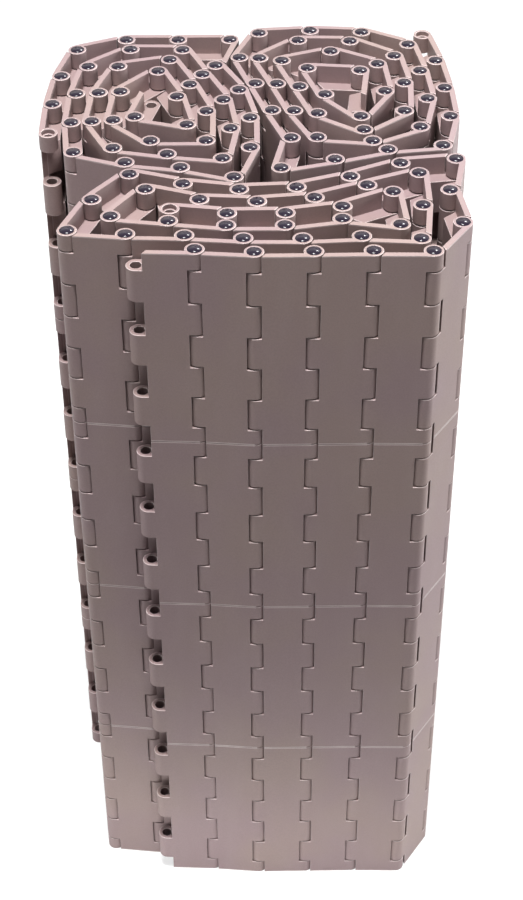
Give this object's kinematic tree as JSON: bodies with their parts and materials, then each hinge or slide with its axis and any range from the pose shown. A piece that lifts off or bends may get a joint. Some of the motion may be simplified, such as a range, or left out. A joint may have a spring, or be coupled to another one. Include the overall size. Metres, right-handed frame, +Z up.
{
  "type": "slat top chain",
  "caption": "Loose rolls of flat-top modular conveyor chain standing on edge, each row of moulded plates hinged on a through rod with domed end plugs.",
  "frame": {"origin": "middle of the three rolls in plan, on the surface that they stand on", "axes": "+X to the right as seen from the front roll's flat side, +Y towards the two rear rolls, +Z up along the hinge rods"},
  "size_m": [0.1944, 0.1966, 0.4197],
  "materials": {
    "taupe_acetal": "fine moulded satin",
    "dark_pin": "polished dark"
  },
  "bodies": {
    "left_coil": {"left_coil_outer_turn": "taupe_acetal", "left_coil_middle_turn": "taupe_acetal", "left_coil_inner_turn": "taupe_acetal", "left_coil_rods": "dark_pin", "left_coil_plugs": "dark_pin"},
    "left_row_6": {"left_row_6": "taupe_acetal", "left_pin_5": "dark_pin"},
    "left_row_5": {"left_row_5": "taupe_acetal", "left_pin_4": "dark_pin"},
    "left_row_4": {"left_row_4": "taupe_acetal", "left_pin_3": "dark_pin"},
    "left_row_3": {"left_row_3": "taupe_acetal", "left_pin_2": "dark_pin"},
    "left_row_2": {"left_row_2": "taupe_acetal", "left_pin_1": "dark_pin"},
    "left_row_1": {"left_row_1": "taupe_acetal"},
    "right_coil": {"right_coil_outer_turn": "taupe_acetal", "right_coil_middle_turn": "taupe_acetal", "right_coil_inner_turn": "taupe_acetal", "right_coil_rods": "dark_pin", "right_coil_plugs": "dark_pin"},
    "right_row_4": {"right_row_4": "taupe_acetal", "right_pin_3": "dark_pin"},
    "right_row_3": {"right_row_3": "taupe_acetal", "right_pin_2": "dark_pin"},
    "right_row_2": {"right_row_2": "taupe_acetal", "right_pin_1": "dark_pin"},
    "right_row_1": {"right_row_1": "taupe_acetal"},
    "front_coil": {"front_coil_outer_turn": "taupe_acetal", "front_coil_middle_turn": "taupe_acetal", "front_coil_inner_turn": "taupe_acetal", "front_coil_rods": "dark_pin", "front_coil_plugs": "dark_pin"},
    "front_row_8": {"front_row_8": "taupe_acetal", "front_pin_8": "dark_pin"},
    "front_row_7": {"front_row_7": "taupe_acetal", "front_pin_7": "dark_pin"},
    "front_row_6": {"front_row_6": "taupe_acetal", "front_pin_6": "dark_pin"},
    "front_row_5": {"front_row_5": "taupe_acetal", "front_pin_5": "dark_pin"},
    "front_row_4": {"front_row_4": "taupe_acetal", "front_pin_4": "dark_pin"},
    "front_row_3": {"front_row_3": "taupe_acetal", "front_pin_3": "dark_pin"},
    "front_row_2": {"front_row_2": "taupe_acetal", "front_pin_2": "dark_pin"},
    "front_row_1": {"front_row_1": "taupe_acetal", "front_pin_1": "dark_pin"}
  },
  "joints": [
    {"name": "left_hinge_6", "type": "hinge", "parent": "left_coil", "child": "left_row_6", "pos_m": [-0.01032, 0.08524, 0.20985], "axis": [0, 0, -1], "range_deg": [0, 111]},
    {"name": "left_hinge_5", "type": "hinge", "parent": "left_row_6", "child": "left_row_5", "pos_m": [-0.03572, 0.08512, 0.20985], "axis": [0, 0, -1], "range_deg": [0, 20]},
    {"name": "left_hinge_4", "type": "hinge", "parent": "left_row_5", "child": "left_row_4", "pos_m": [-0.06112, 0.08528, 0.20985], "axis": [0, 0, -1], "range_deg": [0, 30]},
    {"name": "left_hinge_3", "type": "hinge", "parent": "left_row_4", "child": "left_row_3", "pos_m": [-0.08462, 0.07566, 0.20985], "axis": [0, 0, -1], "range_deg": [0, 60]},
    {"name": "left_hinge_2", "type": "hinge", "parent": "left_row_3", "child": "left_row_2", "pos_m": [-0.09069, 0.05099, 0.20985], "axis": [0, 0, -1], "range_deg": [0, 30]},
    {"name": "left_hinge_1", "type": "hinge", "parent": "left_row_2", "child": "left_row_1", "pos_m": [-0.09287, 0.02568, 0.20985], "axis": [0, 0, -1], "range_deg": [0, 30]},
    {"name": "right_hinge_4", "type": "hinge", "parent": "right_coil", "child": "right_row_4", "pos_m": [0.08768, -0.01102, 0.20985], "axis": [0, 0, -1], "range_deg": [0, 50]},
    {"name": "right_hinge_3", "type": "hinge", "parent": "right_row_4", "child": "right_row_3", "pos_m": [0.09284, 0.01385, 0.20985], "axis": [0, 0, -1], "range_deg": [0, 40]},
    {"name": "right_hinge_2", "type": "hinge", "parent": "right_row_3", "child": "right_row_2", "pos_m": [0.09191, 0.03923, 0.20985], "axis": [0, 0, -1], "range_deg": [0, 30]},
    {"name": "right_hinge_1", "type": "hinge", "parent": "right_row_2", "child": "right_row_1", "pos_m": [0.08921, 0.06449, 0.20985], "axis": [0, 0, -1], "range_deg": [0, 30]},
    {"name": "front_hinge_8", "type": "hinge", "parent": "front_coil", "child": "front_row_8", "pos_m": [0.09287, -0.02222, 0.20985], "axis": [0, 0, 1], "range_deg": [0, 60]},
    {"name": "front_hinge_7", "type": "hinge", "parent": "front_row_8", "child": "front_row_7", "pos_m": [0.0884, -0.04722, 0.20985], "axis": [0, 0, 1], "range_deg": [0, 10]},
    {"name": "front_hinge_6", "type": "hinge", "parent": "front_row_7", "child": "front_row_6", "pos_m": [0.09224, -0.07233, 0.20985], "axis": [0, 0, 1], "range_deg": [0, 50]},
    {"name": "front_hinge_5", "type": "hinge", "parent": "front_row_6", "child": "front_row_5", "pos_m": [0.07825, -0.09353, 0.20985], "axis": [0, 0, 1], "range_deg": [0, 60]},
    {"name": "front_hinge_4", "type": "hinge", "parent": "front_row_5", "child": "front_row_4", "pos_m": [0.05285, -0.09323, 0.20985], "axis": [0, 0, 1], "range_deg": [0, 25]},
    {"name": "front_hinge_3", "type": "hinge", "parent": "front_row_4", "child": "front_row_3", "pos_m": [0.02746, -0.09363, 0.20985], "axis": [0, 0, 1], "range_deg": [0, 25]},
    {"name": "front_hinge_2", "type": "hinge", "parent": "front_row_3", "child": "front_row_2", "pos_m": [0.00206, -0.09393, 0.20985], "axis": [0, 0, 1], "range_deg": [0, 25]},
    {"name": "front_hinge_1", "type": "hinge", "parent": "front_row_2", "child": "front_row_1", "pos_m": [-0.02325, -0.0918, 0.20985], "axis": [0, 0, 1], "range_deg": [0, 25]},
    {"name": "right_roll_lift", "type": "slide", "parent": "left_coil", "child": "right_coil", "axis": [0, 0, 1], "range_m": [0, 0.45]},
    {"name": "front_roll_lift", "type": "slide", "parent": "left_coil", "child": "front_coil", "axis": [0, 0, 1], "range_m": [0, 0.45]}
  ]
}
